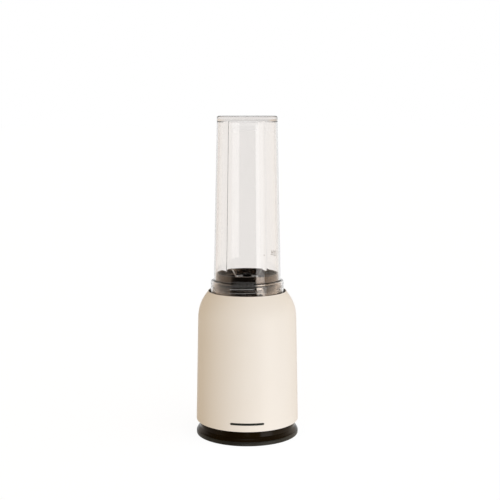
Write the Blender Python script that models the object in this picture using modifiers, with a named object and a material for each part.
"""Personal blender: a slim motor base with a lift-off, screw-on bottle and blade unit.

Sizes are in millimetres in the driving values and are scaled to metres when a shape is made.
The origin is the centre of the foot on the table, +Z is up and the front faces -Y.
Every round part turns about the Z axis, so its origin stays on that axis.
"""

import math

import bmesh
import bpy
from mathutils import Matrix, Vector

MM = 0.001
ROUND = 32  # facets of a large round part
SMALL_ROUND = 16  # facets of a shaft, screw or bush
FIT = 0.3  # gap between two parts that touch
RUNNING_FIT = 0.15  # gap round a shaft that turns

# Foot and base plate
FOOT_RADIUS = 57.3
FOOT_INNER_RADIUS = 48.0
FOOT_HEIGHT = 4.4
BASE_FLOOR_BOTTOM = 3.0
BASE_FLOOR_TOP = 5.8
BASE_RIM_TOP = 8.2
SPIGOT_RADIUS = 53.6
BASE_SLOPE = ((SPIGOT_RADIUS, 8.5), (55.0, 7.0), (56.1, 5.8), (56.7, 4.9))
SPIGOT_WALL = 2.2
SPIGOT_TOP = 24.0

# Housing
HOUSING_BOTTOM = 15.8
HOUSING_TOP = 162.4
HOUSING_BOTTOM_RADIUS = 57.5
HOUSING_DRAFT = 0.0205  # radius lost per millimetre of height
SHOULDER_START = 130.0
SHOULDER_DEPTH = 11.3
SHOULDER_POWER = 2.5
HOUSING_WALL = 2.5
CORD_Z = 33.0  # height of the cord outlet, at the rear
TOWER_CIRCLE = 43.0  # centre of the three screws through the base plate
TOWER_ANGLES = (30, 150, 270)

# Receiver, the socket that the blade unit sits in
RECEIVER_OUTER = 42.9
RECEIVER_INNER = 41.6
RECEIVER_TOP = 161.4
WELL_FLOOR_TOP = 142.5
WELL_FLOOR_BOTTOM = 140.0
LIP_TOP = 153.6
LIP_BOTTOM = 150.9
LIP_RADIUS = 38.4
FLANGE_TOP = 151.0
FLANGE_BOTTOM = 148.4
EAR_RADIUS = 45.4  # centre of the three housing screws
EAR_ANGLES = (30, 150, 270)
BOSS_CIRCLE = 34.0  # centre of the three carrier screws
BOSS_ANGLES = (0, 120, 240)

# Bayonet and interlock
LUG_ANGLES = (90, 210, 330)
LUG_HALF_ANGLE = 12.0
NOTCH_HALF_ANGLE = 15.0
LUG_TOP = 150.3
LUG_THIN_BOTTOM = 149.1
LUG_THICK_BOTTOM = 146.7
LUG_OUTER = 41.1
PIN_CIRCLE = 39.5
PIN_ANGLE = 72.0
PIN_RADIUS = 1.3
PIN_TOP = 149.3
PIN_BOTTOM = 116.2
PIN_COLLAR = (138.2, 139.7)  # rests under the receiver's floor
PIN_COLLAR_RADIUS = 2.6
PIN_SPRING_RADIUS = 2.25
SWITCH_PEGS = (4.0, 13.5)  # X of the two pegs that hold the switch
SWITCH_Z = 103.0
SWITCH_PIVOT = (-0.4, 38.0, 111.4)
LEVER_REST = 16.5  # degrees that the lever stands up at rest

# Blade holder
HOLDER_BOTTOM = 146.4
HOLDER_SKIRT = 37.6
HOLDER_FLANGE = 40.6
HOLDER_FLANGE_TOP = 159.0
DRUM_RADIUS = 37.4
DRUM_TOP = 173.4
RING_RADIUS = 35.1
RING_TOP = 182.7
HOLDER_FLOOR_TOP = 170.6
HOLDER_FLOOR_BOTTOM = 167.6
BUSH_RADIUS = 6.0

# Thread between the bottle and the blade holder
THREAD_STARTS = 2
THREAD_LEAD = 8.4  # rise in one turn
HOLDER_CREST = 38.7
BOTTLE_CREST = 37.9

# Bottle
BOTTLE_TOP = 356.5
BOTTLE_TOP_RADIUS = 33.4
BOTTLE_NECK_RADIUS = 37.3
BOTTLE_NECK = 177.0
SKIRT_TOP = 171.0
SKIRT_RADIUS = 40.8
SKIRT_INNER = 39.1
SKIRT_BOTTOM = 160.8
BOTTLE_WALL = 1.9
FIN_ANGLES = (54, 130, 230, 306)  # the back pair mirrors the front pair
FIN_DEPTH = 1.6
FIN_NOSE = 0.8  # width of a fin's crest
FIN_STEEP = 0.5  # how far its steep side and its ramp reach along the wall
FIN_RAMP = 7.6
FIN_FOOT = 184.5  # where a fin leaves the wall; it reaches full depth FIN_SLOPE higher
FIN_SLOPE = 20.0
FIN_ROOT = 0.3  # how far a fin is sunk in the wall

# Blades and couplers
SHAFT_RADIUS = 3.0
BLADE_Z = 177.8
BLADE_THICKNESS = 1.2
COUPLER_LOBES = 6
COUPLER_MEAN = 8.3
COUPLER_LOBE = 1.3
COUPLER_GAP = 0.6

# Motor
MOTOR_SHAFT_RADIUS = 4.0
STATOR_BOTTOM = 64.0
STATOR_TOP = 90.0
STATOR_SIDE = 54.0
STATOR_BORE = 15.0
BOLT_OFFSET = 23.2  # each motor bolt's distance from both centre planes
LOWER_PLATE = (44.0, 47.0)
UPPER_PLATE = (108.0, 111.5)
CARRIER = (121.2, 124.7)
BRUSH_Z = 99.0

COLLECTION = bpy.data.collections.new("personal_blender")
CUTTERS = bpy.data.collections.new("cutters")


# ---------------------------------------------------------------- helpers
def clear_scene():
    for obj in list(bpy.data.objects):
        bpy.data.objects.remove(obj)


def material(name, colour, roughness, metallic=0.0, alpha=1.0):
    made = bpy.data.materials.new(name)
    made.use_nodes = True
    shader = made.node_tree.nodes["Principled BSDF"]
    shader.inputs["Base Color"].default_value = (*colour, 1.0)
    shader.inputs["Roughness"].default_value = roughness
    shader.inputs["Metallic"].default_value = metallic
    shader.inputs["Alpha"].default_value = alpha
    made.diffuse_color = (*colour, alpha)
    return made


def add(name, data, finish=None, parent=None, cutter=False):
    obj = bpy.data.objects.new(name, data)
    (CUTTERS if cutter else COLLECTION).objects.link(obj)
    if finish:
        data.materials.append(finish)
    if parent:
        obj.parent = parent
        obj.matrix_parent_inverse = Matrix.Translation(-parent.location)
    if cutter:
        obj.hide_render = True
        obj.display_type = "WIRE"
    return obj


def axis_empty(name, at=(0, 0, 0)):
    empty = bpy.data.objects.new(name, None)
    empty.location = Vector(at) * MM
    COLLECTION.objects.link(empty)
    return empty


def polar(radius, degrees, z=0.0):
    angle = math.radians(degrees)
    return Vector((radius * math.cos(angle), radius * math.sin(angle), z))


def arc(centre, radii, start, end, steps):
    """Points of an elliptic arc in the X-Z plane, angles in degrees from +X."""
    turn = [math.radians(start + (end - start) * i / steps) for i in range(steps + 1)]
    return [(centre[0] + radii[0] * math.cos(t), centre[1] + radii[1] * math.sin(t)) for t in turn]


def profile_mesh(name, points, closed):
    mesh = bpy.data.meshes.new(name)
    count = len(points)
    edges = [(i, i + 1) for i in range(count - 1)]
    if closed:
        edges.append((count - 1, 0))
    mesh.from_pydata([(x * MM, 0, z * MM) for x, z in points], edges, [])
    return mesh


def turned(name, points, finish=None, parent=None, steps=ROUND, closed=True, cutter=False):
    """A profile in the X-Z plane, running down its outer side, turned about Z."""
    obj = add(name, profile_mesh(name, points, closed), finish, parent, cutter)
    screw = obj.modifiers.new("turn", "SCREW")
    screw.axis = "Z"
    screw.steps = screw.render_steps = steps
    screw.use_merge_vertices = True
    screw.merge_threshold = 0.00001
    return obj


def ring_points(inner, outer, bottom, top, chamfer=0.0):
    c = chamfer
    if not c:
        return [(outer, top), (outer, bottom), (inner, bottom), (inner, top)]
    return [
        (outer - c, top),
        (outer, top - c),
        (outer, bottom + c),
        (outer - c, bottom),
        (inner, bottom),
        (inner, top),
    ]


def rod_points(steps):
    """An open profile for a stepped rod from [(radius, bottom, top), ...], listed from the top down."""
    points = [(0, steps[0][2])]
    for radius, bottom, top in steps:
        points += [(radius, top), (radius, bottom)]
    return points + [(0, steps[-1][1])]


def evaluated_mesh(obj):
    graph = bpy.context.evaluated_depsgraph_get()
    return bpy.data.meshes.new_from_object(obj.evaluated_get(graph))


def copies(name, source, places, finish=None, parent=None, cutter=False):
    """One object that holds a separate copy of source's shape at each place (a matrix)."""
    shape = evaluated_mesh(source)
    bm = bmesh.new()
    for place in places:
        one = shape.copy()
        one.transform(place)
        if place.is_negative:
            one.flip_normals()
        bm.from_mesh(one)
        bpy.data.meshes.remove(one)
    mesh = bpy.data.meshes.new(name)
    bm.to_mesh(mesh)
    bm.free()
    mesh.materials.clear()
    bpy.data.objects.remove(source)
    return add(name, mesh, finish, parent, cutter)


def repeated(name, source, places, finish, parent=None):
    """Separate objects that share source's mesh, one at each place (a matrix)."""
    mesh = evaluated_mesh(source)
    mesh.name = name
    mesh.materials.clear()
    bpy.data.objects.remove(source)
    for k, place in enumerate(places):
        one = add(f"{name}_{k + 1}", mesh, finish if k == 0 else None, parent)
        one.matrix_world = place


def at(x, y, z=0.0, turn=0.0):
    return Matrix.Translation(Vector((x, y, z)) * MM) @ Matrix.Rotation(math.radians(turn), 4, "Z")


def round_places(radius, angles, z=0.0):
    return [at(*polar(radius, a, z), a) for a in angles]


def box(name, low, high, finish=None, parent=None, cutter=False, place=None):
    """A box between two corners, in millimetres, moved by an optional matrix."""
    bm = bmesh.new()
    bmesh.ops.create_cube(bm, size=1.0)
    low, high = Vector(low) * MM, Vector(high) * MM
    size = high - low
    bmesh.ops.scale(bm, vec=size, verts=bm.verts)
    bmesh.ops.translate(bm, vec=(low + high) / 2, verts=bm.verts)
    if place:
        bmesh.ops.transform(bm, matrix=place, verts=bm.verts)
    mesh = bpy.data.meshes.new(name)
    bm.to_mesh(mesh)
    bm.free()
    return add(name, mesh, finish, parent, cutter)


def outline(name, loops, bottom, top, finish=None, parent=None, cutter=False):
    """A flat shape from closed X-Y loops, extruded from bottom to top and made a mesh."""
    curve = bpy.data.curves.new(name, "CURVE")
    curve.dimensions = "2D"
    curve.fill_mode = "BOTH"
    curve.extrude = (top - bottom) / 2 * MM
    for loop in loops:
        spline = curve.splines.new("POLY")
        spline.points.add(len(loop) - 1)
        for point, (x, y) in zip(spline.points, loop):
            point.co = (x * MM, y * MM, 0, 1)
        spline.use_cyclic_u = True
    source = add(name + "_curve", curve)
    mesh = evaluated_mesh(source)
    bpy.data.objects.remove(source)
    bm = bmesh.new()
    bm.from_mesh(mesh)
    bmesh.ops.remove_doubles(bm, verts=bm.verts, dist=0.000001)
    bmesh.ops.translate(bm, vec=(0, 0, (top + bottom) / 2 * MM), verts=bm.verts)
    bm.to_mesh(mesh)
    bm.free()
    mesh.name = name
    mesh.materials.clear()
    return add(name, mesh, finish, parent, cutter)


def tube(name, points, radius, finish, parent=None, sides=2):
    curve = bpy.data.curves.new(name, "CURVE")
    curve.dimensions = "3D"
    curve.bevel_depth = radius * MM
    curve.bevel_resolution = sides
    curve.use_fill_caps = True
    spline = curve.splines.new("POLY")
    spline.points.add(len(points) - 1)
    for point, place in zip(spline.points, points):
        point.co = (*(Vector(place) * MM), 1)
    return add(name, curve, finish, parent)


def smooth_route(knots, steps=4):
    """Points of a Catmull-Rom curve through the knots."""
    ends = [Vector(knots[0]) * 2 - Vector(knots[1]), Vector(knots[-1]) * 2 - Vector(knots[-2])]
    line = [ends[0], *[Vector(k) for k in knots], ends[1]]
    points = []
    for a, b, c, d in zip(line, line[1:], line[2:], line[3:]):
        for i in range(steps):
            t = i / steps
            points.append(
                0.5 * (2 * b + (c - a) * t + (2 * a - 5 * b + 4 * c - d) * t**2
                       + (3 * b - a - 3 * c + d) * t**3)
            )
    return [*points, line[-2]]


def combine(obj, other, operation):
    modifier = obj.modifiers.new(operation.lower(), "BOOLEAN")
    modifier.operation = operation
    modifier.solver = "EXACT"
    modifier.object = other
    return obj


def cut(obj, *cutters):
    for cutter in cutters:
        combine(obj, cutter, "DIFFERENCE")
    return obj


def join(obj, *others):
    for other in others:
        combine(obj, other, "UNION")
    return obj


def sector(name, inner, outer, bottom, top, low, high, steps=6):
    """A cutter or rib shaped as part of a ring, between two angles in degrees."""
    angles = [low + (high - low) * i / steps for i in range(steps + 1)]
    loop = [tuple(polar(outer, a)[:2]) for a in angles]
    loop += [tuple(polar(inner, a)[:2]) for a in reversed(angles)]
    return outline(name, [loop], bottom, top, cutter=True)


def drill(name, radius, bottom, top, places, steps=SMALL_ROUND):
    """Cylindrical cutters or bosses along Z."""
    pin = turned(name + "_one", rod_points([(radius, bottom, top)]), steps=steps, closed=False, cutter=True)
    return copies(name, pin, places, cutter=True)


def thread(name, root, crest, bottom, turns, start, widths):
    """A trapezoid rib swept along a right-hand helix, one copy for each thread start."""
    steps = round(ROUND * turns)
    foot, tip = (w / 2 * MM for w in widths)
    bm = bmesh.new()
    for k in range(THREAD_STARTS):
        corners = [(root, -foot), (crest, -tip), (crest, tip), (root, foot)]
        verts = [bm.verts.new((r * MM, 0, bottom * MM + z)) for r, z in corners]
        face = bm.faces.new(verts)
        turn = Matrix.Rotation(math.radians(start + 360 * k / THREAD_STARTS), 3, "Z")
        bmesh.ops.rotate(bm, verts=verts, cent=(0, 0, 0), matrix=turn)
        bmesh.ops.spin(
            bm,
            geom=[face, *face.edges, *verts],
            cent=(0, 0, 0),
            axis=(0, 0, 1),
            dvec=(0, 0, THREAD_LEAD * turns * MM / steps),
            angle=math.radians(360 * turns),
            steps=steps,
            use_duplicate=False,
        )
    bmesh.ops.recalc_face_normals(bm, faces=bm.faces)
    mesh = bpy.data.meshes.new(name)
    bm.to_mesh(mesh)
    bm.free()
    return add(name, mesh, cutter=True)


def rounded_square(half, radius, steps=3):
    loop = []
    for k, (sx, sy) in enumerate(((1, 1), (-1, 1), (-1, -1), (1, -1))):
        centre = (sx * (half - radius), sy * (half - radius))
        loop += arc(centre, (radius, radius), 90 * k, 90 * k + 90, steps)
    return loop


def square_places(offset, z=0.0):
    return [at(sx * offset, sy * offset, z) for sx in (-1, 1) for sy in (-1, 1)]


def bolt_places():
    """The two long bolts of the motor, at opposite corners."""
    return [at(BOLT_OFFSET, BOLT_OFFSET), at(-BOLT_OFFSET, -BOLT_OFFSET)]


# ---------------------------------------------------------------- base
def housing_radius(z):
    """Outer radius of the housing: a drafted side that rolls over into the shoulder."""
    radius = HOUSING_BOTTOM_RADIUS - HOUSING_DRAFT * (z - HOUSING_BOTTOM)
    rise = max(0.0, z - SHOULDER_START) / (HOUSING_TOP - SHOULDER_START)
    return radius - SHOULDER_DEPTH * rise**SHOULDER_POWER


def make_housing(finish):
    levels = [HOUSING_TOP - (HOUSING_TOP - SHOULDER_START) * (i / 7) ** 1.3 for i in range(8)]
    outer = [(housing_radius(z), z) for z in levels]
    outer += [(HOUSING_BOTTOM_RADIUS, HOUSING_BOTTOM + 0.8), (HOUSING_BOTTOM_RADIUS - 0.6, HOUSING_BOTTOM)]
    inner = [(HOUSING_BOTTOM_RADIUS - HOUSING_WALL, HOUSING_BOTTOM)]
    for z in (SHOULDER_START - 4, 141.0, 149.0, 155.0):
        inner.append((housing_radius(z + 0.8) - HOUSING_WALL, z))
    opening = housing_radius(HOUSING_TOP)
    inner += [(opening + 0.02, 158.8)]
    shell = turned("housing", outer + inner, finish)
    # three screw posts low on the wall and three bosses under the shoulder
    for k, angle in enumerate(TOWER_ANGLES):
        post = box(f"post_{k}", (39, -4, 26), (55.6, 4, 42), cutter=True, place=at(0, 0, 0, angle))
        join(shell, post)
    cut(shell, drill("post_holes", 1.9, 25, 40, round_places(TOWER_CIRCLE, TOWER_ANGLES), 10))
    ears = round_places(EAR_RADIUS, EAR_ANGLES)
    join(shell, drill("shoulder_bosses", 2.3, FLANGE_TOP + FIT, 156.2, ears, 12))
    cut(shell, drill("shoulder_holes", 1.4, FLANGE_TOP - 1, 155.0, ears, 10))
    # rear cord outlet: a stepped hole for the gland
    outlet = turned("outlet", rod_points([(4.7, 50, 60)]), steps=SMALL_ROUND, closed=False, cutter=True)
    seat = turned("outlet_seat", rod_points([(7.0, 55.9, 62)]), steps=SMALL_ROUND, closed=False, cutter=True)
    for cutter in (outlet, seat):
        cutter.rotation_euler = (math.radians(-90), 0, 0)
        cutter.location = (0, 0, CORD_Z * MM)
    cut(shell, outlet, seat)
    return shell


def make_base(plastic, rubber, steel):
    spigot_inner = SPIGOT_RADIUS - SPIGOT_WALL
    plate_points = [
        (0, BASE_FLOOR_TOP),
        (45.0, BASE_FLOOR_TOP),
        (45.6, BASE_RIM_TOP),
        (spigot_inner, BASE_RIM_TOP),
        (spigot_inner, SPIGOT_TOP),
        (SPIGOT_RADIUS, SPIGOT_TOP),
        *BASE_SLOPE,
        (FOOT_RADIUS - 0.8, FOOT_HEIGHT + FIT),
        (FOOT_INNER_RADIUS - FIT, FOOT_HEIGHT + FIT),
        (FOOT_INNER_RADIUS - FIT, BASE_FLOOR_BOTTOM),
        (0, BASE_FLOOR_BOTTOM),
    ]
    plate = turned("base_plate", plate_points, plastic, closed=False)
    towers = round_places(TOWER_CIRCLE, TOWER_ANGLES)
    join(plate, drill("towers", 5.2, 5.65, 25.7, towers, 12))
    cut(plate, drill("tower_holes", 2.0, 2, 27, towers, 12), drill("head_seats", 4.0, 2, 6.4, towers, 12))
    vents = [at(0, 0, 0, 45 * k) for k in range(8)]
    slot = box("slot", (18, -2, 2), (34, 2, 7), cutter=True)
    cut(plate, copies("vents", slot, vents, cutter=True))

    foot_points = [
        (FOOT_RADIUS - 0.5, FOOT_HEIGHT),
        (FOOT_RADIUS, FOOT_HEIGHT - 0.5),
        (FOOT_RADIUS, 0.4),
        (FOOT_RADIUS - 0.4, 0),
        (FOOT_INNER_RADIUS, 0),
        (FOOT_INNER_RADIUS, FOOT_HEIGHT),
    ]
    turned("foot_ring", foot_points, rubber)

    screw = turned("screw", rod_points([(1.65, 6.0, 38), (3.6, 3.6, 6.0)]), steps=10, closed=False)
    repeated("base_screw", screw, towers, steel)


def make_cord_gland(rubber):
    """A flanged bush, its axis along +Y, flush with the back of the housing."""
    flange = [(6.7, 57.1), (6.7, 56.2), (4.4, 56.2)]
    clip = [(4.4, 53.6), (6.2, 53.6), (5.2, 49.5)]
    points = [*flange, *clip, (3.3, 49.5), (3.3, 57.1)]
    gland = turned("cord_gland", points, rubber, steps=SMALL_ROUND)
    gland.rotation_euler = (math.radians(-90), 0, 0)
    gland.location = (0, 0, CORD_Z * MM)


# ---------------------------------------------------------------- receiver
def make_receiver(plastic, rubber, steel):
    points = [
        (RECEIVER_OUTER, RECEIVER_TOP),
        (RECEIVER_OUTER, FLANGE_TOP),
        (EAR_RADIUS + 2.3, FLANGE_TOP),
        (EAR_RADIUS + 2.3, FLANGE_BOTTOM),
        (RECEIVER_OUTER, FLANGE_BOTTOM),
        (RECEIVER_OUTER, WELL_FLOOR_BOTTOM),
        (6.6, WELL_FLOOR_BOTTOM),
        (6.6, WELL_FLOOR_TOP),
        (15.4, WELL_FLOOR_TOP),
        (15.4, 147.6),
        (17.2, 147.6),
        (17.2, WELL_FLOOR_TOP),
        (RECEIVER_INNER, WELL_FLOOR_TOP),
        (RECEIVER_INNER, LIP_BOTTOM),
        (LIP_RADIUS, LIP_BOTTOM),
        (LIP_RADIUS, LIP_TOP - 1),
        (LIP_RADIUS + 1, LIP_TOP),
        (RECEIVER_INNER, LIP_TOP),
        (RECEIVER_INNER, RECEIVER_TOP),
    ]
    receiver = turned("receiver", points, plastic, steps=24)
    for k, angle in enumerate(LUG_ANGLES):
        low, high = angle - NOTCH_HALF_ANGLE, angle + NOTCH_HALF_ANGLE
        cut(receiver, sector(f"notch_{k}", 37, RECEIVER_INNER + 0.3, 149.5, 155, low, high))
    pin_place = [at(*polar(PIN_CIRCLE, PIN_ANGLE))]
    cut(receiver, drill("pin_hole", PIN_RADIUS + FIT, 139, 144, pin_place, 12))
    cut(receiver, drill("ear_holes", 1.4, 147, 153, round_places(EAR_RADIUS, EAR_ANGLES), 12))
    bosses = round_places(BOSS_CIRCLE, BOSS_ANGLES)
    join(receiver, drill("carrier_bosses", 4.0, CARRIER[1] + FIT, 141, bosses, 12))
    cut(receiver, drill("carrier_boss_holes", 1.5, 124, 138, bosses, 12))

    screw = turned("screw", rod_points([(1.1, 148.1, 154.5), (2.2, 146.4, 148.1)]), steps=10, closed=False)
    ears = round_places(EAR_RADIUS, EAR_ANGLES)
    repeated("receiver_screw", screw, ears, steel)
    seal_points = [(6.3, 143.2), (6.3, 139.4), (4.2, 139.4), (4.2, 140.6), (5.0, 141.4), (4.2, 143.2)]
    turned("well_seal", seal_points, rubber, steps=SMALL_ROUND)
    return bosses


def make_carrier(plastic, rubber, steel, bosses):
    """The plate that hangs the motor, the switch and the circuit board under the receiver."""
    low, high = CARRIER
    carrier = turned("motor_carrier", ring_points(12, 46, low, high), plastic, steps=32)
    vents = [at(0, 0, 0, a) for a in (15, 75, 165, 195, 255, 285, 345)]
    slot = box("carrier_slot", (17, -2.2, low - 1), (27, 2.2, high + 1), cutter=True)
    cut(carrier, copies("carrier_vents", slot, vents, cutter=True))
    for k, y in enumerate((-15, 15)):
        join(carrier, box(f"board_rail_{k}", (36.4, y - 2.5, 100), (41.2, y + 2.5, low + 1), cutter=True))
    cut(carrier, box("board_slot", (38.0, -18.4, 98), (40.2, 18.4, 119.2), cutter=True))
    join(carrier, box("switch_tab", (-1, 41.5, 98), (18, 43.6, low + 1), cutter=True))
    cut(carrier, drill("carrier_holes", 1.9, 120, 126, bosses, 12))
    cut(carrier, drill("pin_guide", PIN_RADIUS + FIT, 120, 126, [at(*polar(PIN_CIRCLE, PIN_ANGLE))], 12))
    cut(carrier, drill("bolt_guides", 2.3, 120, 126, bolt_places(), 12))
    for k, x in enumerate(SWITCH_PEGS):
        peg = turned(f"switch_peg_{k}", rod_points([(1.2, -1, 7.5)]), steps=8, closed=False, cutter=True)
        peg.rotation_euler = (math.radians(90), 0, 0)
        peg.location = Vector((x, 42, SWITCH_Z)) * MM
        join(carrier, peg)

    screw = turned("screw", rod_points([(1.2, 120.9, 134), (2.9, 118.8, 120.9)]), steps=10, closed=False)
    repeated("carrier_screw", screw, bosses, steel)
    bush = turned("bush", ring_points(2.3, 5.6, UPPER_PLATE[1] + FIT, low - FIT), steps=16)
    repeated("motor_bush", bush, bolt_places(), rubber)


def make_interlock(plastic, steel, base):
    """Push pin under a bayonet lug, its spring, and the switch it works."""
    place = polar(PIN_CIRCLE, PIN_ANGLE)
    pin_axis = axis_empty("interlock_axis", place)
    collar_bottom, collar_top = PIN_COLLAR
    pin_steps = [
        (PIN_RADIUS, collar_top, PIN_TOP),
        (PIN_COLLAR_RADIUS, collar_bottom, collar_top),
        (PIN_RADIUS, PIN_BOTTOM, collar_bottom),
    ]
    pin = turned("interlock_pin", rod_points(pin_steps), plastic, pin_axis, steps=12, closed=False)
    pin.location = place * MM

    coils, facets, wire = 5, 6, 0.3
    first = CARRIER[1] + 2 * wire
    last = collar_bottom - 2 * wire
    route = []
    for i in range(coils * facets + 1):
        z = first + (last - first) * i / (coils * facets)
        route.append(place + polar(PIN_SPRING_RADIUS, 360 * i / facets, z))
    tube("pin_spring", route, wire, steel, base, sides=0)

    body = box("micro_switch", (-1.5, 34.7, 98.5), (18.5, 41.2, 110.2), plastic, base)
    for k, x in enumerate(SWITCH_PEGS):
        hole = turned(f"switch_hole_{k}", rod_points([(1.5, -2, 12)]), steps=10, closed=False, cutter=True)
        hole.rotation_euler = (math.radians(-90), 0, 0)
        hole.location = Vector((x, 32, SWITCH_Z)) * MM
        cut(body, hole)
    pivot = axis_empty("lever_axis", SWITCH_PIVOT)
    lever = box("switch_lever", (-0.8, -2.2, -0.25), (16.5, 2.2, 0.25), steel, pivot)
    lever.location = Vector(SWITCH_PIVOT) * MM
    lever.rotation_euler = (0, math.radians(-LEVER_REST), 0)


# ---------------------------------------------------------------- motor
def make_stator(lamination, copper, plastic, steel, rubber, bronze):
    plate_outline = rounded_square(STATOR_SIDE / 2, 4)
    stator = outline("stator_core", [plate_outline], STATOR_BOTTOM, STATOR_TOP, lamination)
    cut(stator, drill("bore", STATOR_BORE, 60, 95, [at(0, 0)], 32))
    window = box("coil_window", (12.2, 5, 60), (19.4, 21, 95), cutter=True)
    mirrored = [Matrix.Diagonal((sx, sy, 1, 1)) for sx in (-1, 1) for sy in (-1, 1)]
    cut(stator, copies("coil_windows", window, mirrored, cutter=True))
    cut(stator, drill("bolt_holes", 2.3, 60, 95, bolt_places(), 12))

    for name, side in (("field_coil_front", -1), ("field_coil_rear", 1)):
        low, high = sorted((side * 15.6, side * 20.6))
        coil = box(name, (-18.4, low, STATOR_BOTTOM - 7), (18.4, high, STATOR_TOP + 7), copper)
        bevel = coil.modifiers.new("round", "BEVEL")
        bevel.width = 2.0 * MM
        bevel.segments = 2
        hole_low = (-12.8, low - 1, STATOR_BOTTOM - FIT)
        hole_high = (12.8, high + 1, STATOR_TOP + FIT)
        cut(coil, box(name + "_hole", hole_low, hole_high, cutter=True))

    lower_legs = (LOWER_PLATE[1] - 1, STATOR_BOTTOM - FIT)
    upper_legs = (STATOR_TOP + FIT, UPPER_PLATE[0] + 1)
    make_end_frame("lower_end_frame", LOWER_PLATE, lower_legs, (44.6, 55.0), lamination)
    make_end_frame("upper_end_frame", UPPER_PLATE, upper_legs, (108.6, 117.8), lamination)
    for name, bottom in (("lower_bearing", 45), ("upper_bearing", 108)):
        bush = ring_points(MOTOR_SHAFT_RADIUS + RUNNING_FIT, 8, bottom, bottom + 9, 0.5)
        turned(name, bush, bronze, steps=SMALL_ROUND)

    head_top = LOWER_PLATE[0] - FIT
    bolt_steps = [(1.8, head_top, 128.5), (3.4, head_top - 2.4, head_top)]
    bolt = turned("bolt", rod_points(bolt_steps), steps=10, closed=False)
    repeated("motor_bolt", bolt, bolt_places(), steel)
    nut = turned("nut", ring_points(2.4, 3.7, CARRIER[1] + FIT, 127.8), steps=6)
    repeated("motor_nut", nut, bolt_places(), steel)

    for name, side in (("left", -1), ("right", 1)):
        place = Matrix.Rotation(math.radians(90 - 90 * side), 4, "Z")
        z = BRUSH_Z
        holder = box(f"brush_holder_{name}", (11.5, -4.5, z - 4.5), (27, 4.5, z + 4.5), plastic, place=place)
        stem = box(f"brush_stem_{name}", (20, -3, z + 4), (25, 3, 107.6), cutter=True, place=place)
        join(holder, stem)
        low, high = (10, -3.3, z - 3.3), (25.6, 3.3, z + 3.3)
        cut(holder, box(f"brush_channel_{name}", low, high, cutter=True, place=place))
        box(f"brush_{name}", (10.4, -3, z - 3), (19.6, 3, z + 3), rubber, place=place)
        route = []
        for i in range(25):
            x = 20.2 + 4.9 * i / 24
            turn = math.radians(60 * i)
            route.append(place @ Vector((x, 2.2 * math.cos(turn), z + 2.2 * math.sin(turn))))
        tube(f"brush_spring_{name}", route, 0.25, steel, sides=0)


def make_end_frame(name, plate, legs, boss, finish):
    """A square plate with four legs to the stator and a bearing boss."""
    frame = outline(name, [rounded_square(28, 5)], *plate, finish)
    join(frame, drill(name + "_boss", 11.5, *boss, [at(0, 0)], SMALL_ROUND))
    join(frame, drill(name + "_legs", 3.6, *legs, square_places(BOLT_OFFSET), 12))
    cut(frame, drill(name + "_bore", 8 + FIT, boss[0] - 2, boss[1] + 2, [at(0, 0)], SMALL_ROUND))
    low, high = min(plate[0], legs[0]) - 2, max(plate[1], legs[1]) + 2
    cut(frame, drill(name + "_holes", 2.3, low, high, bolt_places(), 12))
    for turn in (90, 270):
        low, high = (14, -7, plate[0] - 1), (23, 7, plate[1] + 1)
        cut(frame, box(f"{name}_window_{turn}", low, high, cutter=True, place=at(0, 0, 0, turn)))
    return frame


def make_rotor(steel, lamination, copper, plastic, coupler_finish, axis):
    turned("motor_shaft", rod_points([(MOTOR_SHAFT_RADIUS, 24, 150)]), steel, axis, SMALL_ROUND, closed=False)
    bore = MOTOR_SHAFT_RADIUS + FIT
    stack = ring_points(bore, 14.2, STATOR_BOTTOM, STATOR_TOP)
    core = turned("armature_core", stack, lamination, axis, steps=24)
    slots = [at(0, 0, 0, 45 * k) for k in range(8)]
    slot = box("slot", (11.6, -1.1, 60), (16, 1.1, 95), cutter=True)
    cut(core, copies("armature_slots", slot, slots, cutter=True))
    bottom, top = STATOR_BOTTOM - 0.4, STATOR_TOP + 0.4
    lower_end = [*arc((9.5, bottom - 4), (4.0, 4.0), 90, -90, 3), (bore, bottom - 8), (bore, bottom)]
    upper_end = [*arc((9.5, top + 1.8), (4.0, 1.8), 90, -90, 3), (bore, top), (bore, top + 3.6)]
    winding = turned("armature_winding", lower_end, copper, axis, steps=SMALL_ROUND)
    wire = box("slot_wire", (12.0, -0.7, bottom - 3), (13.6, 0.7, top + 1.4), cutter=True)
    join(winding, turned("upper_winding", upper_end, steps=SMALL_ROUND, cutter=True))
    join(winding, copies("slot_wires", wire, slots, cutter=True))
    bars = turned("commutator", ring_points(bore, 10.0, 94.8, 104, 0.5), copper, axis, steps=SMALL_ROUND)
    gaps = [at(0, 0, 0, 22.5 + 45 * k) for k in range(8)]
    gap = box("gap", (9.0, -0.4, 93), (11, 0.4, 105), cutter=True)
    cut(bars, copies("commutator_gaps", gap, gaps, cutter=True))
    make_fan(plastic, axis)

    coupler = outline("drive_coupler", [lobes(COUPLER_MEAN)], 143.8, 155.0, coupler_finish, axis)
    cut(coupler, drill("coupler_bore", bore, 143, 150.3, [at(0, 0)], SMALL_ROUND))


def make_fan(plastic, axis):
    """Hub, back disc and nine straight blades of the cooling fan."""
    hub_points = [(9, 37), (9, 28.6), (33, 28.6), (33, 27), (4.3, 27), (4.3, 37)]
    fan = turned("cooling_fan", hub_points, plastic, axis, steps=24)
    blade = box("blade", (8, -0.8, 27.8), (32.4, 0.8, 36.4), cutter=True, place=Matrix.Rotation(0.35, 4, "Z"))
    join(fan, copies("fan_blades", blade, [at(0, 0, 0, 40 * k) for k in range(9)], cutter=True))


def lobes(mean, steps=COUPLER_LOBES * 8):
    """The coupler's outline: a circle with six soft lobes."""
    loop = []
    for i in range(steps):
        angle = 2 * math.pi * i / steps
        radius = mean + COUPLER_LOBE * math.cos(COUPLER_LOBES * angle)
        loop.append((radius * math.cos(angle), radius * math.sin(angle)))
    return loop


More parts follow.
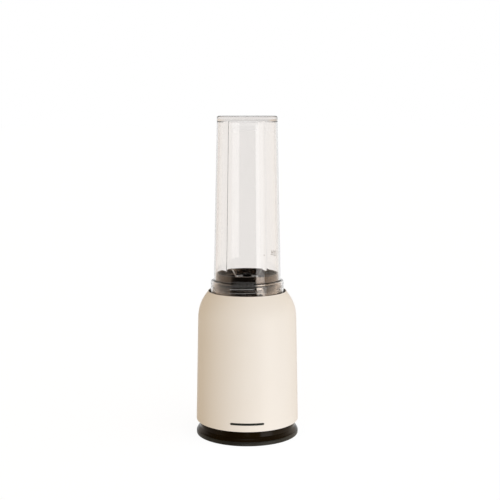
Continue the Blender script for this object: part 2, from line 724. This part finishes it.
# ---------------------------------------------------------------- electrics
def make_electrics(board_finish, film, wire):
    box("circuit_board", (38.4, -18, 66), (39.8, 18, 118.8), board_finish)
    capacitor = box("suppressor_capacitor", (30.2, -9, 72), (38.1, 9, 86), film)
    bevel = capacitor.modifiers.new("round", "BEVEL")
    bevel.width = 1.2 * MM
    bevel.segments = 2
    mains_route = [(3, 45.5, 36), (16, 46, 50), (22, 42, 75), (20.8, 37.5, 98), (20.8, 37.5, 104)]
    tube("mains_lead", smooth_route(mains_route), 1.1, wire)
    brush_route = [(37.2, -6, 90), (34.5, -9.5, 94), (31, -7, 98.5), (28.2, -1.5, 99.5)]
    tube("brush_lead", smooth_route(brush_route), 0.9, wire)


# ---------------------------------------------------------------- cup
def make_holder(finish, silicone, parent):
    points = [
        (RING_RADIUS - 0.3, RING_TOP),
        (RING_RADIUS, RING_TOP - 0.4),
        (RING_RADIUS, DRUM_TOP + 0.8),
        (DRUM_RADIUS, DRUM_TOP),
        (DRUM_RADIUS, HOLDER_FLANGE_TOP),
        (HOLDER_FLANGE, HOLDER_FLANGE_TOP),
        (HOLDER_FLANGE, 156.8),
        (HOLDER_SKIRT, 156.8),
        (HOLDER_SKIRT, HOLDER_BOTTOM),
        (HOLDER_SKIRT - 2.2, HOLDER_BOTTOM),
        (HOLDER_SKIRT - 2.2, 157.2),
        (DRUM_RADIUS - 2.2, 158.4),
        (DRUM_RADIUS - 2.2, HOLDER_FLOOR_BOTTOM),
        (10.2, HOLDER_FLOOR_BOTTOM),
        (10.2, 159.6),
        (BUSH_RADIUS + FIT, 159.6),
        (BUSH_RADIUS + FIT, 173.4),
        (10.0, 173.4),
        (11.0, HOLDER_FLOOR_TOP),
        (31.4, HOLDER_FLOOR_TOP),
        (33.2, HOLDER_FLOOR_TOP + 1.8),
        (33.2, RING_TOP - 0.3),
        (33.5, RING_TOP),
    ]
    holder = turned("blade_holder", points, finish, parent)
    for k, angle in enumerate(LUG_ANGLES):
        join(holder, make_lug(f"lug_{k}", angle))
    join(holder, thread("holder_thread", DRUM_RADIUS - 0.5, HOLDER_CREST, 162.2, 1.0, 20, (2.8, 1.5)))
    seal_points = [(8.6, 174.6), (8.6, 173.7), (3.4, 173.7), (3.4, 175.2), (5.0, 175.2)]
    turned("blade_seal", seal_points, silicone, parent, steps=SMALL_ROUND)


def make_lug(name, angle):
    """A bayonet lug whose underside is a ramp, thin at the end that leads when the cup is turned to lock."""
    low, high = angle - LUG_HALF_ANGLE, angle + LUG_HALF_ANGLE
    lug = sector(name, HOLDER_SKIRT - 0.8, LUG_OUTER, LUG_THIN_BOTTOM, LUG_TOP, low, high)
    middle = (LUG_THIN_BOTTOM + LUG_TOP) / 2 * MM
    for vertex in lug.data.vertices:
        if vertex.co.z < middle:
            at_angle = math.degrees(math.atan2(vertex.co.y, vertex.co.x)) % 360
            share = (at_angle - low) / (high - low)
            vertex.co.z = (LUG_THIN_BOTTOM + (LUG_THICK_BOTTOM - LUG_THIN_BOTTOM) * share) * MM
    return lug


def bottle_radius(z):
    share = (z - BOTTLE_NECK) / (350.0 - BOTTLE_NECK)
    return BOTTLE_NECK_RADIUS + (BOTTLE_TOP_RADIUS - BOTTLE_NECK_RADIUS) * share


def make_bottle(clear, silicone, bottle_parent, gasket_parent):
    floor_inside = 350.6
    foot = 27.0
    outer = [
        (0, BOTTLE_TOP - 2.2),
        (foot, BOTTLE_TOP - 2.2),
        (foot + 1.6, BOTTLE_TOP),
        *arc((bottle_radius(354) - 2.0, BOTTLE_TOP - 2.0), (2.0, 2.0), 90, 0, 3),
        (BOTTLE_NECK_RADIUS, BOTTLE_NECK),
        (BOTTLE_NECK_RADIUS + 0.3, BOTTLE_NECK - 2.2),
        *arc((SKIRT_RADIUS - 2.4, SKIRT_TOP), (2.1, 2.6), 80, 0, 3),
        (SKIRT_RADIUS, SKIRT_BOTTOM),
    ]
    inner = [
        (SKIRT_INNER, SKIRT_BOTTOM),
        (SKIRT_INNER, SKIRT_TOP + 0.2),
        (SKIRT_INNER - 1.6, DRUM_TOP + 1.2),
        (BOTTLE_NECK_RADIUS - BOTTLE_WALL + 0.1, BOTTLE_NECK - 1.6),
        (bottle_radius(floor_inside - 3) - BOTTLE_WALL, floor_inside - 3),
        (bottle_radius(floor_inside) - BOTTLE_WALL - 3, floor_inside),
        (0, floor_inside),
    ]
    bottle = turned("bottle", outer + inner, clear, bottle_parent, closed=False)
    for k, angle in enumerate(FIN_ANGLES):
        join(bottle, make_fin(f"fin_{k}", angle, floor_inside))
    join(bottle, thread("bottle_thread", SKIRT_INNER + 0.5, BOTTLE_CREST, 164.3, 0.5, 200, (2.6, 1.4)))
    gasket = ring_points(HOLDER_CREST + FIT, HOLDER_FLANGE - 0.1, HOLDER_FLANGE_TOP + 0.2, SKIRT_BOTTOM - 0.3)
    turned("bottle_gasket", gasket, silicone, gasket_parent, steps=ROUND)


def make_fin(name, angle, floor_inside):
    """A mixing rib on the bottle's inner wall: one steep side, one long ramp, sloped at the mouth end."""
    start = FIN_FOOT - FIN_SLOPE * FIN_ROOT / FIN_DEPTH
    side = -1 if angle < 180 else 1
    near, far = sorted((-side * FIN_RAMP, side * FIN_STEEP))
    fin = box(name, (0, near, start), (1, far, floor_inside + 1), cutter=True)
    middle = 260 * MM
    for vertex in fin.data.vertices:
        outside = vertex.co.x > 0.5 * MM
        z = vertex.co.z / MM
        if not outside:
            vertex.co.y = -side * FIN_NOSE * MM if vertex.co.y * side < 0 else 0.0
        if vertex.co.z < middle and not outside:
            z = FIN_FOOT + FIN_SLOPE
        wall = bottle_radius(z) - BOTTLE_WALL
        vertex.co.x = (wall + FIN_ROOT if outside else wall - FIN_DEPTH) * MM
        vertex.co.z = z * MM
    fin.data.transform(Matrix.Rotation(math.radians(angle), 4, "Z"))
    return fin


def make_blades(steel, bronze, plastic, core_parent, blade_parent):
    bush = ring_points(SHAFT_RADIUS + RUNNING_FIT, BUSH_RADIUS, 159.8, 173.2)
    turned("blade_bearing", bush, bronze, core_parent, steps=SMALL_ROUND)
    shaft = rod_points([(SHAFT_RADIUS, 156.2, 182.4)])
    turned("blade_shaft", shaft, steel, blade_parent, 16, closed=False)
    washer = ring_points(SHAFT_RADIUS + FIT, 6.4, 175.4, 176.1)
    turned("blade_washer", washer, steel, blade_parent, 16)
    lower = BLADE_Z - BLADE_THICKNESS - 0.2
    make_blade("blade_lower", lower, (90, 270), steel, blade_parent, [(5, 11), (14, 10), (26.5, 3)], -9)
    make_blade("blade_upper", BLADE_Z, (0, 180), steel, blade_parent, [(5, 11), (12, 10), (22.5, 3.4)], 56)
    nut_points = [(5.6, 180.9), (5.6, 179.3), (3.7, 179.3), (3.7, 181.9), (4.6, 181.9)]
    nut = turned("blade_nut", nut_points, steel, blade_parent, 6)
    nut.rotation_euler = (0, 0, math.radians(30))
    disc = rod_points([(13.0, 147.2, 158.8)])
    driven = turned("driven_coupler", disc, plastic, blade_parent, 32, closed=False)
    socket = outline("socket", [lobes(COUPLER_MEAN + COUPLER_GAP)], 146, 155.8, cutter=True)
    cut(driven, socket, drill("shaft_hole", SHAFT_RADIUS + FIT, 150, 160, [at(0, 0)], 16))


def make_blade(name, z, angles, steel, parent, widths, bend):
    """A pressed blade: a hub and two arms whose wings bend up (or down) by an angle."""
    hub = turned(name, ring_points(SHAFT_RADIUS + FIT, 7.4, z, z + BLADE_THICKNESS), steel, parent, 24)
    (root, root_width), (bend_at, bend_width), (tip, tip_width) = widths
    for k, angle in enumerate(angles):
        arm = tapered_plate(f"{name}_arm_{k}", root, bend_at, root_width, bend_width, 0.04)
        wing = tapered_plate(f"{name}_wing_{k}", -0.9, tip - bend_at, bend_width - 0.2, tip_width, 0.08)
        tilt = Matrix.Translation((bend_at * MM, 0, 0)) @ Matrix.Rotation(math.radians(-bend), 4, "Y")
        wing.data.transform(tilt)
        for piece in (arm, wing):
            piece.data.transform(Matrix.Translation((0, 0, z * MM)))
            piece.data.transform(Matrix.Rotation(math.radians(angle), 4, "Z"))
            join(hub, piece)
    return hub


def tapered_plate(name, start, end, start_width, end_width, inset):
    """A flat plate along +X whose width changes from one end to the other."""
    plate = box(name, (start, -0.5, inset), (end, 0.5, BLADE_THICKNESS - inset), cutter=True)
    middle = (start + end) / 2 * MM
    for vertex in plate.data.vertices:
        vertex.co.y *= start_width if vertex.co.x < middle else end_width
    return plate


def main():
    clear_scene()
    for made in (COLLECTION, CUTTERS):
        bpy.context.scene.collection.children.link(made)

    cream = material("cream_plastic", (0.86, 0.80, 0.70), 0.55)
    dark = material("dark_gloss_plastic", (0.035, 0.022, 0.016), 0.22)
    metal = material("dark_metal", (0.16, 0.14, 0.12), 0.25, 0.9)
    rubber = material("rubber", (0.03, 0.03, 0.025), 0.8)
    silicone = material("silicone", (0.55, 0.55, 0.53), 0.5)
    steel = material("steel", (0.62, 0.62, 0.60), 0.3, 1.0)
    bronze = material("bronze", (0.55, 0.38, 0.2), 0.4, 1.0)
    copper = material("copper", (0.62, 0.27, 0.12), 0.4, 1.0)
    lamination = material("lamination", (0.36, 0.36, 0.37), 0.5, 1.0)
    black = material("black_plastic", (0.03, 0.03, 0.032), 0.5)
    carbon = material("carbon", (0.05, 0.05, 0.05), 0.7)
    green = material("board", (0.04, 0.22, 0.1), 0.4)
    film = material("film_yellow", (0.75, 0.6, 0.12), 0.4)
    clear = material("clear_plastic", (0.93, 0.92, 0.9), 0.03, 0.0, 0.25)

    base_axis = axis_empty("base")
    rotor_axis = axis_empty("rotor_axis")
    core_axis = axis_empty("cup_core_axis")
    holder_axis = axis_empty("holder_axis")
    gasket_axis = axis_empty("gasket_axis")
    bottle_axis = axis_empty("bottle_axis")
    blade_axis = axis_empty("blade_axis")
    for child, parent in (
        (core_axis, base_axis),
        (rotor_axis, base_axis),
        (holder_axis, core_axis),
        (blade_axis, core_axis),
        (gasket_axis, holder_axis),
        (bottle_axis, gasket_axis),
    ):
        child.parent = parent

    make_housing(cream)
    make_base(dark, rubber, steel)
    make_cord_gland(rubber)
    bosses = make_receiver(black, rubber, steel)
    make_carrier(black, rubber, steel, bosses)
    make_interlock(black, steel, base_axis)
    make_stator(lamination, copper, black, steel, carbon, bronze)
    make_rotor(steel, lamination, copper, black, black, rotor_axis)
    make_electrics(green, film, rubber)
    make_holder(metal, silicone, holder_axis)
    make_bottle(clear, silicone, bottle_axis, gasket_axis)
    make_blades(steel, bronze, black, core_axis, blade_axis)


main()
